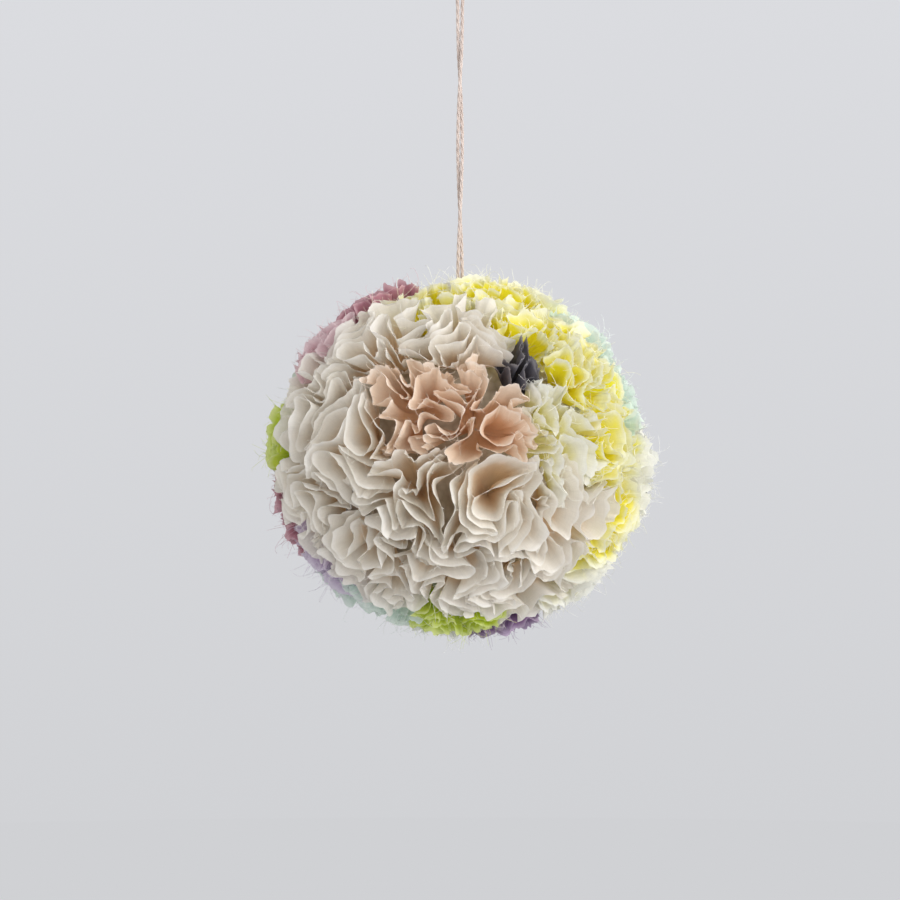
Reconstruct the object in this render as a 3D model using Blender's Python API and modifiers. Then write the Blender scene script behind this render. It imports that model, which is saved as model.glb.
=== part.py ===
"""A hanging ball of gathered cloth scraps.

Thin scraps of cotton and voile are each gathered at one point and fixed by it all round a foam ball,
so that their free edges crowd into ruffles. A length of twine, doubled into a loop, hangs the ball.
Metres, +Z up. The origin is the inside top of the twine's loop. The front of the ball faces -Y.
"""
import math

import bmesh
import bpy
import numpy as np

# Core and hanging
CORE_RADIUS = 0.038
HANG_DROP = 0.141  # from the inside top of the loop down to the ball's centre
TWINE_DIAMETER = 0.0011
STRAND_OFFSET = 0.00062  # each strand's centre from the line that the loop hangs on
HOLE_DEPTH = 0.0120
SEAT_GAP = 0.0003  # between pieces that touch

# Cloth
CLOTH_WALL = 0.0004
FOLD_GAP = 0.0026  # between neighbouring folds at the free edge
EDGE_POINTS = 48  # corners round each free edge
FREE_RADIUS = 0.0558  # level from the ball's centre, where the free edges are pressed back
FREE_HEIGHT = 0.0518  # the same straight up and down: the ball is a little wider than tall
PRESS_SPREAD = (0.955, 1.025)  # how far in or out of that the single scraps are pressed
TWINE_ROOM = 0.0020  # radius kept open round the twine where it leaves the cloth
GROWTH_ROUNDS = 230
SEED = 8

# Each cloth: colour, roughness, reach from the gathered point to the free edge, length of the free
# edge as a multiple of a flat round's, and its share of room on the ball.
CLOTHS = {
    "cream": ((0.62, 0.56, 0.46), 0.90, 0.0200, 1.98, 1.00),
    "lemon": ((0.75, 0.74, 0.16), 0.85, 0.0190, 1.76, 0.85),
    "pale_lemon": ((0.74, 0.72, 0.40), 0.85, 0.0190, 1.76, 0.85),
    "lime": ((0.38, 0.48, 0.03), 0.80, 0.0175, 1.50, 0.65),
    "mint": ((0.45, 0.68, 0.52), 0.85, 0.0180, 1.42, 0.70),
    "rose": ((0.34, 0.14, 0.18), 0.85, 0.0180, 1.58, 0.70),
    "pink": ((0.58, 0.35, 0.40), 0.85, 0.0180, 1.58, 0.70),
    "lilac": ((0.48, 0.36, 0.55), 0.80, 0.0180, 1.58, 0.70),
    "plum": ((0.16, 0.10, 0.20), 0.80, 0.0170, 1.38, 0.55),
    "slate": ((0.07, 0.06, 0.08), 0.85, 0.0165, 1.02, 0.22),
    "peach": ((0.60, 0.36, 0.22), 0.85, 0.0185, 1.38, 0.70),
}

# Where the scraps of the front sit, as (cloth, degrees round from the front, degrees up).
FRONT = [
    ("peach", -10, 14),
    ("peach", 8, 5),
    ("slate", 18, 24),
    ("lemon", -20, 50),
    ("lemon", 7, 47),
    ("lemon", 28, 38),
    ("lemon", 33, 20),
    ("lemon", 40, 2),
    ("lemon", 48, -14),
    ("pale_lemon", 27, 3),
    ("pale_lemon", 50, -31),
    ("pale_lemon", 66, -3),
    ("mint", 54, 34),
    ("mint", 66, 16),
    ("rose", -42, 47),
    ("pink", -54, 34),
    ("lime", -57, 8),
    ("lime", -10, -47),
    ("rose", -70, -10),
    ("lilac", -54, -27),
    ("mint", -42, -45),
    ("plum", 36, -43),
    ("cream", -27, 23),
    ("cream", -27, 5),
    ("cream", 1, 25),
    ("cream", -11, -5),
    ("cream", -18, -25),
    ("cream", -3, -24),
    ("cream", 12, -10),
    ("cream", 20, -29),
    ("cream", 31, -13),
    ("cream", -44, 18),
    ("cream", -33, -12),
]

# The cloths of the sides and back, taken in turn from the top of the ball down.
REST = ["cream", "cream", "pale_lemon", "cream", "pink", "cream", "cream", "mint", "cream", "lemon", "cream",
        "lilac", "cream"]
REST_COUNT = 23

# Half of the twine's route, from its end in the core up to the top of the loop, as (x, y, z).
# The other half is the same, turned half round the line that the loop hangs on.
TWINE_ROUTE = [
    (0.00062, 0.00000, -0.1145),
    (0.00062, 0.00000, -0.1080),
    (0.00062, 0.00000, -0.0985),
    (0.00062, 0.00000, -0.0895),
    (0.00044, 0.00044, -0.0800),
    (0.00000, 0.00062, -0.0706),
    (-0.00044, 0.00044, -0.0605),
    (-0.00062, 0.00000, -0.0504),
    (-0.00044, -0.00044, -0.0410),
    (0.00000, -0.00062, -0.0315),
    (0.00044, -0.00044, -0.0238),
    (0.00062, 0.00000, -0.0160),
    (0.00074, 0.00000, -0.0090),
    (0.00150, 0.00000, -0.0058),
    (0.00240, 0.00000, -0.0036),
    (0.00265, 0.00000, -0.0021),
    (0.00190, 0.00000, -0.0003),
    (0.00000, 0.00000, 0.00055),
]
POINTS_ON_LONG_SPAN, POINTS_ON_SHORT_SPAN = 3, 2
LONG_SPAN = 0.0050


def unit(vectors):
    """Vectors of length one."""
    return vectors / np.maximum(np.linalg.norm(vectors, axis=-1, keepdims=True), 1e-12)


def aimed(turn, rise):
    """The unit vector at these degrees round from the front and up."""
    turn, rise = math.radians(turn), math.radians(rise)
    return math.sin(turn) * math.cos(rise), -math.cos(turn) * math.cos(rise), math.sin(rise)


def scrap_places():
    """Each scrap's cloth, and its direction from the ball's centre, spread to share the room."""
    height = 1 - 2 * (np.arange(REST_COUNT) + 0.5) / REST_COUNT
    spiral = np.arange(REST_COUNT) * math.pi * (3 - math.sqrt(5))
    reach = np.sqrt(1 - height**2)
    behind = unit(np.stack([reach * np.cos(spiral), 0.75 + reach * np.sin(spiral), height], 1))
    front = np.array([aimed(turn, rise) for _, turn, rise in FRONT])
    top = np.array([[0.0, 0.0, 1.0]])
    cloths = [cloth for cloth, _, _ in FRONT] + [REST[i % len(REST)] for i in range(REST_COUNT)]
    share = np.array([CLOTHS[cloth][4] for cloth in cloths] + [0.20])
    loose = np.array([0.35] * len(FRONT) + [1.0] * REST_COUNT + [0.0])
    way = np.concatenate([front, behind, top])
    for _ in range(260):
        apart = way[:, None] - way[None]
        square = (apart**2).sum(-1) + np.eye(len(way))
        push = (apart * (share[:, None] * share[None] / square**2)[..., None]).sum(1)
        push -= (push * way).sum(1)[:, None] * way
        step = 0.0012 * push * loose[:, None]
        size = np.linalg.norm(step, axis=1, keepdims=True)
        way = unit(way + step * np.minimum(1, 0.03 / np.maximum(size, 1e-9)))
    return cloths, way[:-1]


def close_pairs(movers, others, reach):
    """Indices into movers and others of every two points nearer than reach, by sorting into cells."""
    low = np.minimum(movers.min(0), others.min(0)) - reach
    cell_m = np.floor((movers - low) / reach).astype(np.int64)
    cell_o = np.floor((others - low) / reach).astype(np.int64)
    span = np.maximum(cell_m.max(0), cell_o.max(0)) + 3
    key = (cell_o[:, 0] * span[1] + cell_o[:, 1]) * span[2] + cell_o[:, 2]
    order = np.argsort(key, kind="stable")
    key = key[order]
    found_m, found_o = [], []
    for dx in (-1, 0, 1):
        for dy in (-1, 0, 1):
            column = ((cell_m[:, 0] + dx) * span[1] + cell_m[:, 1] + dy) * span[2] + cell_m[:, 2]
            first = np.searchsorted(key, column - 1, "left")
            count = np.searchsorted(key, column + 1, "right") - first
            m = np.repeat(np.arange(len(movers)), count)
            o = order[np.arange(count.sum()) + np.repeat(first - (np.cumsum(count) - count), count)]
            near = ((movers[m] - others[o]) ** 2).sum(1) < reach * reach
            found_m.append(m[near])
            found_o.append(o[near])
    return np.concatenate(found_m), np.concatenate(found_o)


def grow_edges(cloths, way, blocked):
    """The gathered point of each scrap, and the corners of its free edge.

    Each scrap is a cone of straight rays from its gathered point. Its free edge starts as a small
    waved ring and is let out to its full length, while every fold pushes off the folds beside it.
    """
    rng = np.random.default_rng(SEED)
    scraps, corners = len(cloths), EDGE_POINTS
    turn = 2 * math.pi * np.arange(corners) / corners
    foot = way * (CORE_RADIUS + SEAT_GAP + CLOTH_WALL / 2)
    east = unit(np.cross(way, np.array([0.31, 0.53, 0.79])))
    north = np.cross(way, east)
    reach = np.array([CLOTHS[cloth][2] for cloth in cloths]) * rng.uniform(0.95, 1.05, scraps)
    fullness = np.array([CLOTHS[cloth][3] for cloth in cloths]) * rng.uniform(0.9, 1.1, scraps)
    lobes = rng.integers(7, 11, scraps)[:, None]
    phase = rng.uniform(0, 2 * math.pi, (scraps, 6))

    # Each scrap is pressed back at its own depth, and is smaller where the ball is flatter.
    pressed = FREE_RADIUS * rng.uniform(*PRESS_SPREAD, (scraps, 1, 1))
    taller = np.array([1, 1, FREE_RADIUS / FREE_HEIGHT])
    room = 1 / np.linalg.norm(way * taller, axis=1)
    reach, fullness = reach * room, fullness * room

    # The starting cone, its rays and their slants waved round the scrap.
    ray = reach[:, None] * (1 + 0.07 * np.cos(4 * turn + phase[:, 5:]) + 0.05 * np.cos(7 * turn + phase[:, 4:5]))
    wave = (np.cos(lobes * turn + phase[:, :1]) + 0.5 * np.cos((lobes + 1) * turn + phase[:, 1:2])
            + 0.4 * np.cos(2 * turn + phase[:, 2:3]) + 0.3 * np.cos(3 * turn + phase[:, 3:4]))
    slant = np.clip(0.30 + 0.09 * wave, 0.10, 0.46)[..., None]
    around = east[:, None] * np.cos(turn)[:, None] + north[:, None] * np.sin(turn)[:, None]
    edge = foot[:, None] + (way[:, None] * np.cos(slant) + around * np.sin(slant)) * ray[..., None]

    # Folds push where they are sampled: at each corner and halfway to the next, at seven heights.
    heights = np.linspace(0.46, 1.0, 7)
    samples = 2 * corners
    owner = np.repeat(np.arange(scraps), samples * len(heights))
    place = np.tile(np.repeat(np.arange(samples), len(heights)), scraps) / 2
    height = np.tile(heights, samples * scraps)
    owner_all = np.concatenate([owner, np.full(len(blocked), -1)])
    place_all = np.concatenate([place, np.zeros(len(blocked))])
    flat_step = 2 * math.pi * reach[:, None] / corners
    start = np.linalg.norm(np.roll(edge, -1, 1) - edge, axis=-1).mean(1, keepdims=True) / flat_step
    for count in range(GROWTH_ROUNDS):
        let_out = min(1.0, count / (0.75 * GROWTH_ROUNDS))
        step = flat_step * (start * (1 - let_out) + fullness[:, None] * let_out)
        double = np.empty((scraps, samples, 3))
        double[:, 0::2] = edge
        double[:, 1::2] = (edge + np.roll(edge, -1, 1)) / 2
        spots = foot[:, None, None] + (double - foot[:, None])[:, :, None] * heights[:, None]
        spots = spots.reshape(-1, 3)
        everything = np.concatenate([spots, blocked])
        if count % 5 == 0:
            a, b = close_pairs(spots, everything, FOLD_GAP * 1.25)
            along = np.abs(place[a] - place_all[b])
            along = np.minimum(along, corners - along)
            own = owner[a] == owner_all[b]
            kept = ~own | (along > 1.5 * FOLD_GAP / step.mean())
            a, b, own = a[kept], b[kept], own[kept]
        wanted = FOLD_GAP * np.where(own, 0.95 * height[a], 0.4 + 0.6 * height[a])
        apart = spots[a] - everything[b]
        distance = np.linalg.norm(apart, axis=1) + 1e-9
        force = 0.26 * np.maximum(wanted - distance, 0) / distance * height[a]
        push = np.stack([np.bincount(a, apart[:, i] * force, len(spots)) for i in range(3)], 1)
        push = push.reshape(scraps, samples, len(heights), 3).sum(2)
        push = push[:, 0::2] + (push[:, 1::2] + np.roll(push[:, 1::2], 1, 1)) / 2
        size = np.linalg.norm(push, axis=-1, keepdims=True)
        edge = edge + push * np.minimum(1, 0.0010 / np.maximum(size, 1e-12))
        for hop, stiffness in ((1, 0.35), (2, 0.12)):
            near = np.roll(edge, hop, 1) + np.roll(edge, -hop, 1)
            far = np.roll(edge, 2 * hop, 1) + np.roll(edge, -2 * hop, 1)
            edge = edge + stiffness / 16 * (4 * near - far - 6 * edge)
        for _ in range(3):
            along = np.roll(edge, -1, 1) - edge
            length = np.linalg.norm(along, axis=-1)
            shift = (0.225 * (length - step) / np.maximum(length, 1e-9))[..., None] * along
            edge = edge + shift - np.roll(shift, 1, 1)
            out = edge - foot[:, None]
            length = np.linalg.norm(out, axis=-1)
            edge = edge - (0.7 * (length - ray) / np.maximum(length, 1e-9))[..., None] * out
        rise = ((edge - foot[:, None]) * way[:, None]).sum(-1)
        edge = edge + way[:, None] * (0.5 * np.maximum(0.34 * ray - rise, 0))[..., None]
        radius = np.linalg.norm(edge * taller, axis=-1, keepdims=True)
        edge = edge * (1 - 0.3 * np.maximum(0, radius - pressed) / radius)
    return foot, edge


def finish(obj, collection, colour, roughness):
    """Puts the object in the ball's collection, with a material of its own name."""
    for other in list(obj.users_collection):
        other.objects.unlink(obj)
    collection.objects.link(obj)
    material = bpy.data.materials.new(obj.name)
    material.use_nodes = True
    shader = material.node_tree.nodes["Principled BSDF"]
    shader.inputs["Base Color"].default_value = (*colour, 1.0)
    shader.inputs["Roughness"].default_value = roughness
    shader.inputs["Metallic"].default_value = 0.0
    obj.data.materials.clear()
    obj.data.materials.append(material)


def foam_core(collection, cutters, parent):
    """The foam ball, with the hole that the twine's two ends are glued into."""
    bpy.ops.mesh.primitive_uv_sphere_add(segments=32, ring_count=16, radius=CORE_RADIUS)
    core = bpy.context.object
    core.name = "foam_core"
    core.parent = parent
    core.data.shade_smooth()
    bpy.ops.mesh.primitive_cylinder_add(
        vertices=12,
        radius=STRAND_OFFSET + TWINE_DIAMETER / 2 + SEAT_GAP,
        depth=2 * HOLE_DEPTH,
        location=(0, 0, CORE_RADIUS),
    )
    drill = bpy.context.object
    drill.name = "twine_hole_cutter"
    drill.parent = parent
    drill.hide_render = True
    drill.display_type = "WIRE"
    for other in list(drill.users_collection):
        other.objects.unlink(drill)
    cutters.objects.link(drill)
    hole = core.modifiers.new("twine hole", "BOOLEAN")
    hole.operation = "DIFFERENCE"
    hole.object = drill
    finish(core, collection, (0.80, 0.79, 0.76), 0.95)


def twine_path():
    """The twine's centre line, read from a smooth curve through its route."""
    half = np.array(TWINE_ROUTE)
    turned = (half * np.array([-1, -1, 1]))[-2::-1]
    route = np.concatenate([half, turned])
    ends = np.concatenate([2 * route[:1] - route[1:2], route, 2 * route[-1:] - route[-2:-1]])
    path = []
    for i in range(len(route) - 1):
        p0, p1, p2, p3 = ends[i : i + 4]
        long = np.linalg.norm(p2 - p1) > LONG_SPAN
        count = POINTS_ON_LONG_SPAN if long else POINTS_ON_SHORT_SPAN
        for t in np.arange(count) / count:
            bend = (2 * p0 - 5 * p1 + 4 * p2 - p3) * t**2 + (3 * p1 - p0 - 3 * p2 + p3) * t**3
            path.append((2 * p1 + (p2 - p0) * t + bend) / 2)
    return np.array(path + [route[-1]])


def hanging_twine(collection, path):
    """The cotton twine, one length doubled into a loop, with both ends in the core."""
    curve = bpy.data.curves.new("hanging_twine", "CURVE")
    curve.dimensions = "3D"
    curve.bevel_depth = TWINE_DIAMETER / 2
    curve.bevel_resolution = 2
    curve.use_fill_caps = True
    spline = curve.splines.new("POLY")
    spline.points.add(len(path) - 1)
    for point, place in zip(spline.points, path):
        point.co = (*place, 1.0)
    twine = bpy.data.objects.new("hanging_twine", curve)
    finish(twine, collection, (0.62, 0.52, 0.46), 0.95)


def scrap(name, cloth, collection, parent, foot, edge):
    """One gathered scrap: a sheet from its gathered point to its free edge, with a wall of cloth."""
    sheet = bmesh.new()
    point = sheet.verts.new((0, 0, 0))
    rim = [sheet.verts.new(corner) for corner in edge - foot]
    for corner, following in zip(rim, rim[1:] + rim[:1]):
        sheet.faces.new((point, corner, following))
    mesh = bpy.data.meshes.new(name)
    sheet.to_mesh(mesh)
    sheet.free()
    mesh.shade_smooth()
    obj = bpy.data.objects.new(name, mesh)
    obj.parent = parent
    obj.location = foot
    wall = obj.modifiers.new("cloth", "SOLIDIFY")
    wall.thickness = CLOTH_WALL
    wall.offset = 0.0
    colour, roughness = CLOTHS[cloth][:2]
    finish(obj, collection, colour, roughness)


def build():
    for obj in list(bpy.data.objects):
        bpy.data.objects.remove(obj)
    ball = bpy.data.collections.new("cloth scrap ball")
    cutters = bpy.data.collections.new("cutters")
    for collection in (ball, cutters):
        bpy.context.scene.collection.children.link(collection)
    centre = bpy.data.objects.new("ball_centre", None)
    centre.location = (0, 0, -HANG_DROP)
    ball.objects.link(centre)
    foam_core(ball, cutters, centre)
    path = twine_path()
    hanging_twine(ball, path)

    # The folds keep clear of the twine where it leaves the cloth.
    above = path + np.array([0, 0, HANG_DROP])
    above = above[np.linalg.norm(above, axis=1) < 1.3 * FREE_RADIUS]
    ring = 2 * math.pi * np.arange(6) / 6
    collar = np.stack([np.cos(ring), np.sin(ring), 0 * ring], 1) * (TWINE_ROOM - FOLD_GAP / 2)
    blocked = (above[:, None] + collar[None]).reshape(-1, 3)

    cloths, way = scrap_places()
    feet, edges = grow_edges(cloths, way, blocked)
    made = {}
    for cloth, foot, edge in zip(cloths, feet, edges):
        made[cloth] = made.get(cloth, 0) + 1
        scrap(f"{cloth}_ruffle_{made[cloth]:02d}", cloth, ball, centre, foot, edge)


build()
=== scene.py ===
import math
import bpy
import numpy as np
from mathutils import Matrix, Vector


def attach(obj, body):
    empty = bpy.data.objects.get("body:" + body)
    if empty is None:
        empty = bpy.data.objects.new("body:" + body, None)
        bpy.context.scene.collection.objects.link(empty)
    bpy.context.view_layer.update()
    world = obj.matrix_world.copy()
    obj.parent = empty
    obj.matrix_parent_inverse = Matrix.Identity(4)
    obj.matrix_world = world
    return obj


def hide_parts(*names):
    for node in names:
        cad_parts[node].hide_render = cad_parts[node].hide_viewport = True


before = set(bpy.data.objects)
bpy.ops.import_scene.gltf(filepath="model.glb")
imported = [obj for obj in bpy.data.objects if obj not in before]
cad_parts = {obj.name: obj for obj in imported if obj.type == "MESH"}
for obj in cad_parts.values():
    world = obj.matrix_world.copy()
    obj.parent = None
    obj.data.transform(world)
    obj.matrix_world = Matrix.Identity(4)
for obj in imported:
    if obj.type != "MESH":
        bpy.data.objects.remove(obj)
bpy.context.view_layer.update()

# The view. The ball hangs level with the lens, seen from far off as a long lens sees it, with its
# middle a little right of and below the middle of the picture.
HANG_DROP = 0.141
VIEW_DISTANCE = 1.19
VIEW_WIDTH = 0.2605
SENSOR_WIDTH = 36.0
BALL_RIGHT_OF_MIDDLE, BALL_BELOW_MIDDLE = 0.0029, 0.0023

lens = bpy.data.cameras.new("camera")
lens.sensor_width = SENSOR_WIDTH
lens.lens = SENSOR_WIDTH * VIEW_DISTANCE / VIEW_WIDTH
camera = bpy.data.objects.new("camera", lens)
camera.location = (-BALL_RIGHT_OF_MIDDLE, -VIEW_DISTANCE, -HANG_DROP + BALL_BELOW_MIDDLE)
camera.rotation_euler = (math.pi / 2, 0, 0)
bpy.context.scene.collection.objects.link(camera)
bpy.context.scene.camera = camera

# The hanging twine: one length of soft cotton twine, three plies laid up right round each other.
# It is doubled into a loop above the ball, its two strands lie slowly wound together, and both of
# its ends are glued into the hole in the core.
TWINE_ROUTE = [
    (0.00062, 0.00000, -0.1145),
    (0.00062, 0.00000, -0.1080),
    (0.00062, 0.00000, -0.0985),
    (0.00062, 0.00000, -0.0895),
    (0.00044, 0.00044, -0.0800),
    (0.00000, 0.00062, -0.0706),
    (-0.00044, 0.00044, -0.0605),
    (-0.00062, 0.00000, -0.0504),
    (-0.00044, -0.00044, -0.0410),
    (0.00000, -0.00062, -0.0315),
    (0.00044, -0.00044, -0.0238),
    (0.00062, 0.00000, -0.0160),
    (0.00074, 0.00000, -0.0090),
    (0.00150, 0.00000, -0.0058),
    (0.00240, 0.00000, -0.0036),
    (0.00265, 0.00000, -0.0021),
    (0.00190, 0.00000, -0.0003),
    (0.00000, 0.00000, 0.00055),
]
TWINE_STEP = 0.0005
PLIES = 3
PLY_RADIUS = 0.00027
PLY_OFFSET = 0.00028
PLY_PITCH = 0.0078
PLY_SIDES = 8
TWINE_SHADE, TWINE_LIGHT = (172, 152, 141), (222, 208, 200)
FIBRES, FIBRE_STRETCH = 9000.0, 0.30
TWINE_PATCHES = 260.0
# The corners round a tube are counted from square to this direction, or to another one where a
# stretch runs nearly along it.
SQUARE_TO = (0.87, 0.41, 0.28)
NEARLY_ALONG = 0.05


def linear(red, green, blue):
    """A colour as the eye reads it, 0 to 255, as the linear values that Blender takes."""
    shares = [value / 255 for value in (red, green, blue)]
    return tuple(s / 12.92 if s <= 0.04045 else ((s + 0.055) / 1.055) ** 2.4 for s in shares)


def unit(vectors):
    """Vectors of length one."""
    return vectors / np.maximum(np.linalg.norm(vectors, axis=-1, keepdims=True), 1e-12)


def smooth_route(route, step):
    """Points about a step apart on the smooth curve through a route."""
    ends = np.concatenate([2 * route[:1] - route[1:2], route, 2 * route[-1:] - route[-2:-1]])
    path = []
    for i in range(len(route) - 1):
        p0, p1, p2, p3 = ends[i:i + 4]
        count = max(2, round(np.linalg.norm(p2 - p1) / step))
        for t in np.arange(count) / count:
            bend = (2 * p0 - 5 * p1 + 4 * p2 - p3) * t**2 + (3 * p1 - p0 - 3 * p2 + p3) * t**3
            path.append((2 * p1 + (p2 - p0) * t + bend) / 2)
    return np.array(path + [route[-1]])


def tube_mesh(name, paths, radius, sides, taper=1.0):
    """One mesh of round tubes along paths, all with as many points: an array of n, points, 3."""
    count, points = paths.shape[:2]
    ahead = np.empty_like(paths)
    ahead[:, 1:-1] = paths[:, 2:] - paths[:, :-2]
    ahead[:, 0] = paths[:, 1] - paths[:, 0]
    ahead[:, -1] = paths[:, -1] - paths[:, -2]
    ahead = unit(ahead)
    across = np.cross(ahead, np.array(SQUARE_TO))
    no_side = np.linalg.norm(across, axis=-1, keepdims=True) < NEARLY_ALONG
    across = unit(np.where(no_side, [[[1.0, 0, 0]]], across))
    other = np.cross(ahead, across)
    turn = (2 * math.pi * np.arange(sides) / sides)[:, None]
    size = (radius * np.linspace(1, taper, points))[:, None, None]
    ring = across[:, :, None] * np.cos(turn) + other[:, :, None] * np.sin(turn)
    corners = (paths[:, :, None] + ring * size).reshape(-1, 3)
    tube = (np.arange(count) * points * sides)[:, None, None]
    row = (np.arange(points - 1) * sides)[None, :, None]
    side = np.arange(sides)[None, None]
    beside = (side + 1) % sides
    low, low_next = tube + row + side, tube + row + beside
    faces = np.stack([low, low_next, low_next + sides, low + sides], -1).reshape(-1, 4)
    first = (tube + side)[:, 0]
    caps = np.concatenate([first[:, ::-1], first + (points - 1) * sides])
    mesh = bpy.data.meshes.new(name)
    mesh.vertices.add(len(corners))
    mesh.vertices.foreach_set("co", corners.ravel())
    mesh.loops.add(faces.size + caps.size)
    mesh.loops.foreach_set("vertex_index", np.concatenate([faces.ravel(), caps.ravel()]))
    starts = np.concatenate([np.arange(len(faces)) * 4, faces.size + np.arange(len(caps)) * sides])
    mesh.polygons.add(len(starts))
    mesh.polygons.foreach_set("loop_start", starts)
    mesh.update(calc_edges=True)
    mesh.validate()
    mesh.shade_smooth()
    return mesh


def joined(tree, kind, settings=(), **links):
    """A shader node with its plain settings, and its inputs linked to outputs or given values."""
    node = tree.nodes.new(kind)
    for key, value in dict(settings).items():
        setattr(node, key, value)
    for key, value in links.items():
        socket = node.inputs[key.replace("_", " ")]
        if isinstance(value, bpy.types.NodeSocket):
            tree.links.new(value, socket)
        else:
            socket.default_value = value
    return node


half_route = np.array(TWINE_ROUTE)
whole_route = np.concatenate([half_route, (half_route * np.array([-1, -1, 1]))[-2::-1]])
twine_path = smooth_route(whole_route, TWINE_STEP)
twine_run = np.concatenate([[0], np.cumsum(np.linalg.norm(np.diff(twine_path, axis=0), axis=1))])
along = unit(np.gradient(twine_path, axis=0))
depth_way = unit(np.cross(along, [0.0, 1.0, 0.0]))
side_way = np.cross(along, depth_way)
plies = []
for ply in range(PLIES):
    angle = (-2 * math.pi * twine_run / PLY_PITCH + 2 * math.pi * ply / PLIES)[:, None]
    plies.append(twine_path + PLY_OFFSET * (depth_way * np.cos(angle) + side_way * np.sin(angle)))
twine_mesh = tube_mesh("hanging_twine_plies", np.array(plies), PLY_RADIUS, PLY_SIDES)
twine = bpy.data.objects.new("cotton_twine", twine_mesh)
bpy.context.scene.collection.objects.link(twine)

cotton = bpy.data.materials.new("twine_cotton")
cotton.use_nodes = True
tree = cotton.node_tree
shader = tree.nodes["Principled BSDF"]
shader.inputs["Roughness"].default_value = 0.95
shader.inputs["Sheen Weight"].default_value = 0.25
shader.inputs["Sheen Roughness"].default_value = 0.6
place = joined(tree, "ShaderNodeTexCoord").outputs["Object"]
fibre = joined(tree, "ShaderNodeMapping", Vector=place, Scale=(1.0, 1.0, FIBRE_STRETCH))
strands = joined(tree, "ShaderNodeTexNoise", Vector=fibre.outputs["Vector"], Scale=FIBRES, Detail=3.0)
patches = joined(tree, "ShaderNodeTexNoise", Vector=place, Scale=TWINE_PATCHES, Detail=2.0)
tint = joined(tree, "ShaderNodeMix", {"data_type": "RGBA"}, Factor=patches.outputs["Fac"])
tint.inputs["A"].default_value = (*linear(*TWINE_SHADE), 1)
tint.inputs["B"].default_value = (*linear(*TWINE_LIGHT), 1)
tree.links.new(tint.outputs["Result"], shader.inputs["Base Color"])
relief = joined(tree, "ShaderNodeBump", Height=strands.outputs["Fac"], Strength=0.5, Distance=0.0001)
tree.links.new(relief.outputs["Normal"], shader.inputs["Normal"])
twine.data.materials.append(cotton)

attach(twine, "root")
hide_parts("hanging_twine")

# The foam core: a plain moulded craft ball of fine foam beads, with one hole for the twine. Only
# glimpses of it show between the gathered points of the scraps.
FOAM_BEADS = 420.0
FOAM_LIGHT, FOAM_SHADE = (214, 204, 186), (170, 156, 134)

foam = bpy.data.materials.new("foam_beads")
foam.use_nodes = True
tree = foam.node_tree
shader = tree.nodes["Principled BSDF"]
shader.inputs["Roughness"].default_value = 0.95
place = joined(tree, "ShaderNodeTexCoord").outputs["Object"]
beads = joined(tree, "ShaderNodeTexVoronoi", Vector=place, Scale=FOAM_BEADS)
tint = joined(tree, "ShaderNodeMix", {"data_type": "RGBA"}, Factor=beads.outputs["Distance"])
tint.inputs["A"].default_value = (*linear(*FOAM_LIGHT), 1)
tint.inputs["B"].default_value = (*linear(*FOAM_SHADE), 1)
tree.links.new(tint.outputs["Result"], shader.inputs["Base Color"])
relief = joined(tree, "ShaderNodeBump", Height=beads.outputs["Distance"], Strength=0.4, Distance=0.0004)
tree.links.new(relief.outputs["Normal"], shader.inputs["Normal"])
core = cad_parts["foam_core"]
core.data.materials.clear()
core.data.materials.append(foam)

# The cloth scraps: thin cotton, voile and silk scraps, each gathered at its middle and fixed to the
# core by that point, so that the free edges crowd into ruffles. Where each one sits comes first,
# then the free edges are let out against each other until they fill the ball.
CORE_RADIUS = 0.038
SEAT_GAP = 0.0003
CLOTH_WALL = 0.0004
EDGE_POINTS = 48
FREE_RADIUS = 0.0558
FREE_HEIGHT = 0.0518
PRESS_SPREAD = (0.955, 1.025)
TWINE_ROOM = 0.0020
TWINE_WITHIN = 1.3
COLLAR_POINTS = 6
SEED = 8
# How the free edges are let out, first into bold folds: in how many rounds, how far apart folds are
# held, at which shares of a ray they push, also between the corners or not, how hard and how far they
# push, how much the edge smooths out over one and two corners, and how much shorter a ray may grow.
FOLD_GAP = 0.0026
BOLD_FOLDS = {
    "rounds": 230,
    "gap": FOLD_GAP,
    "heights": np.linspace(0.46, 1.0, 7),
    "halfway": True,
    "push_share": 0.26,
    "push_limit": 0.0010,
    "smoothing": (0.35, 0.12),
    "slack": 0.0,
}
# The same for the small ruffles, on edges drawn finer. Their first waves are this deep and long, and
# their length is worked out to this many times a flat round's, within these shares of the bold edge.
SMALL_RUFFLES = {
    "rounds": 180,
    "gap": 0.0024,
    "heights": np.array([0.5, 0.7, 0.85, 1.0]),
    "halfway": False,
    "push_share": 0.18,
    "push_limit": 0.0006,
    "smoothing": (0.5, 0.3),
    "slack": 0.20,
}
FINER = 4
RUFFLE_SEED = 3
RUFFLE_START = 0.0010
RUFFLE_WAVES = (0.005, 0.010)
RUFFLE_FULLNESS = 3.4
RUFFLE_LONGER = (1.3, 2.4)
# A ray rises at least this share of its length straight out from the core.
LEAST_RISE = 0.34
# The edges are all let out by this share of the rounds. Folds within so many gaps are looked for once
# in a few rounds, and so many gaps of a fold's own edge don't push it. The gap is this share of the
# full one at the gather, between two scraps, and it shrinks with the height inside one scrap. Then
# each round puts back these shares of what is wrong: lengths and rays in so many passes, then the
# rise and the ball's outline.
LET_OUT_BY = 0.75
LOOK_EVERY, LOOK_REACH, OWN_STRETCH = 5, 1.25, 1.5
GAP_AT_GATHER, OWN_GAP = 0.4, 0.95
PASSES = 3
HOLD_LENGTH, HOLD_RAY, HOLD_RISE, HOLD_OUTLINE = 0.225, 0.7, 0.5, 0.3
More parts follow.
